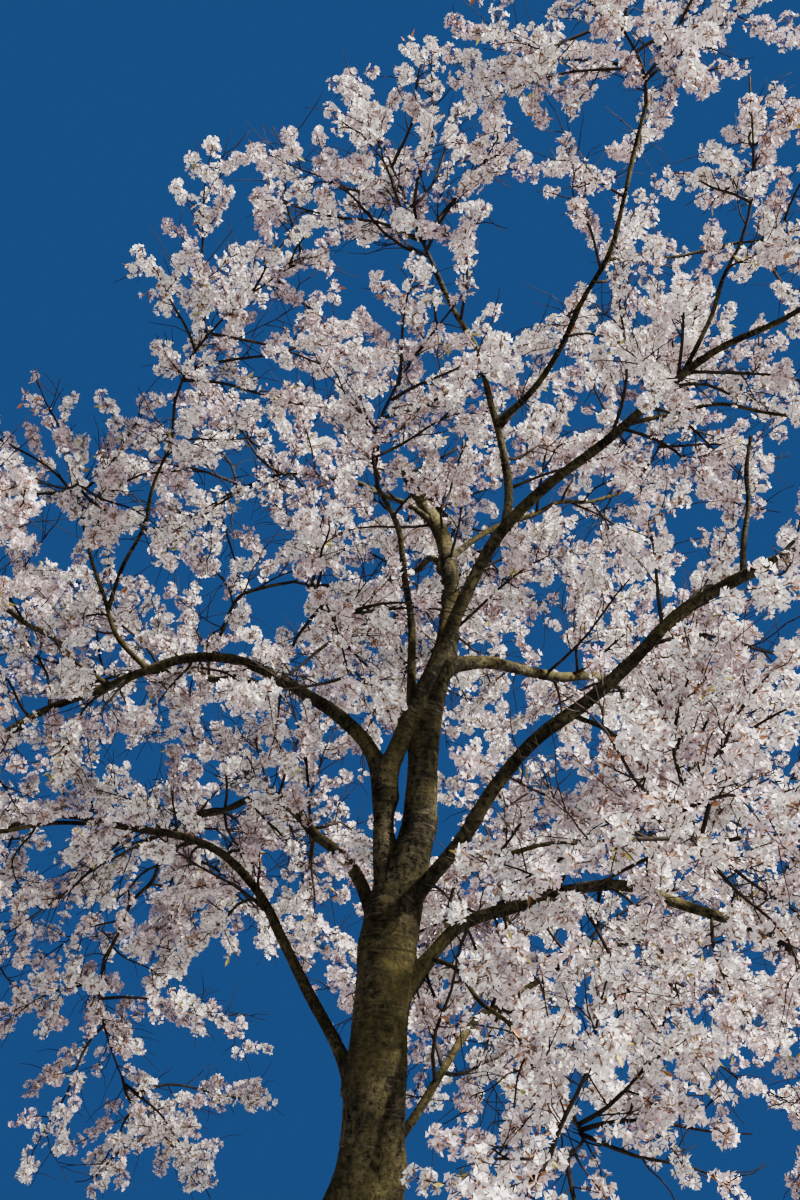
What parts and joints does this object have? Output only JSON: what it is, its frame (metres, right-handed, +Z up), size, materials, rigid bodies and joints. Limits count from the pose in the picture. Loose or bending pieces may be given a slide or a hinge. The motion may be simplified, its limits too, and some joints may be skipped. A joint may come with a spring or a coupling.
{
  "type": "cherry blossom tree",
  "caption": "Spreading deciduous tree in full blossom: a leaning trunk with a root flare forks into arching boughs that end in open masses of blossom.",
  "frame": {"origin": "middle of the trunk's flat cut, on the ground", "axes": "+Z up, +X to the right and +Y away from a viewer who stands where the picture was taken"},
  "size_m": [9.5231, 8.4951, 9.2693],
  "materials": {
    "bark": "rough grey-brown bark with moss on its upper sides",
    "blossom": "soft matt petals, white to palest pink"
  },
  "bodies": {
    "root": {"trunk": "bark", "bough_leader": "bark", "bough_right_rising": "bark", "bough_right_front": "bark", "bough_right_low": "bark", "bough_left_low": "bark", "bough_back_low": "bark", "bough_back_left": "bark", "bough_left_mid": "bark", "bough_left_front": "bark", "bough_right_back": "bark", "bough_back_up": "bark", "bough_leader_right": "bark", "bough_leader_left": "bark", "bough_thin_front": "bark", "bough_centre_up": "bark", "bough_top_right": "bark", "bough_top_right_side": "bark", "bough_right_level_top": "bark", "bough_right_tip_up": "bark", "bough_right_droop": "bark", "bough_right_level": "bark", "bough_right_stub_up": "bark", "bough_right_low_droop": "bark", "bough_left_up_outer": "bark", "bough_left_up_inner": "bark", "bough_left_up_front": "bark", "bough_left_back": "bark", "bough_left_low_back": "bark", "bough_left_low_side": "bark", "bough_right_lowest": "bark", "blossom_leader": "blossom", "blossom_right_rising": "blossom", "blossom_right_front": "blossom", "blossom_right_low": "blossom", "blossom_left_low": "blossom", "blossom_back_low": "blossom", "blossom_back_left": "blossom", "blossom_left_mid": "blossom", "blossom_left_front": "blossom", "blossom_right_back": "blossom", "blossom_back_up": "blossom", "blossom_leader_right": "blossom", "blossom_leader_left": "blossom", "blossom_thin_front": "blossom", "blossom_centre_up": "blossom", "blossom_top_right": "blossom", "blossom_top_right_side": "blossom", "blossom_right_level_top": "blossom", "blossom_right_tip_up": "blossom", "blossom_right_droop": "blossom", "blossom_right_level": "blossom", "blossom_right_low_droop": "blossom", "blossom_left_up_outer": "blossom", "blossom_left_up_inner": "blossom", "blossom_left_up_front": "blossom", "blossom_left_back": "blossom", "blossom_left_low_back": "blossom", "blossom_left_low_side": "blossom", "blossom_right_lowest": "blossom"}
  },
  "joints": []
}
